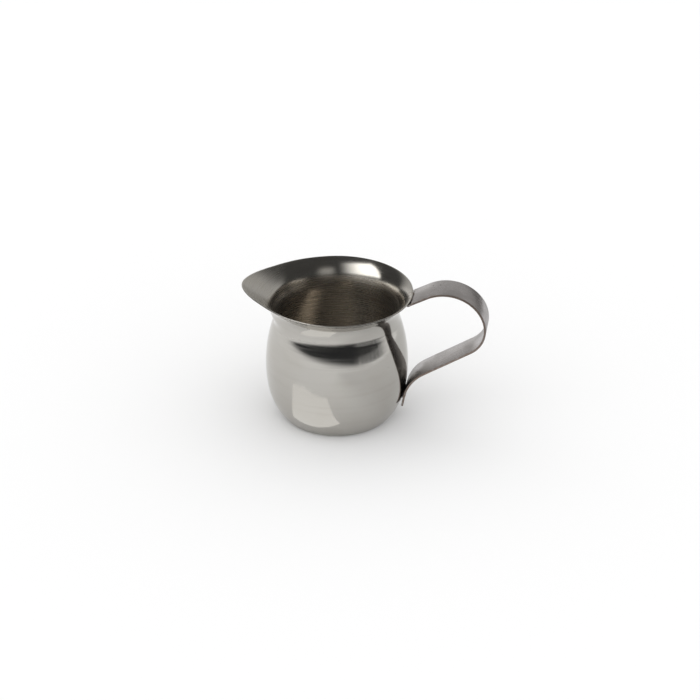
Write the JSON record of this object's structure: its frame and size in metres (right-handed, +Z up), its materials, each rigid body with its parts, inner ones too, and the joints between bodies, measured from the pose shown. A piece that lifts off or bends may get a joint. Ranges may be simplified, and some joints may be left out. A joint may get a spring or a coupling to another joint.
{
  "type": "cream jug",
  "caption": "Small bell-shaped steel cream jug: bellied one-piece body, flared lip drawn out into a pouring spout, and a bent flat strap handle spot-welded on opposite the spout.",
  "frame": {"origin": "centre of the flat base, in the plane the jug stands on", "axes": "+Z up along the body's axis; +X from the body's axis to the handle, so the spout points to -X; the jug is symmetric about the XZ plane"},
  "size_m": [0.093, 0.0572, 0.0556],
  "materials": {
    "polished_steel": "stainless steel, mirror-polished outside and on the lip, satin-spun inside",
    "satin_steel": "stainless strip, dull mill finish with small scuffs",
    "weld_metal": "fused stainless steel, faintly heat-tinted"
  },
  "bodies": {
    "root": {"jug_body": "polished_steel", "strap_handle": "satin_steel", "upper_weld_spots": "weld_metal", "lower_weld_spots": "weld_metal"}
  },
  "joints": []
}
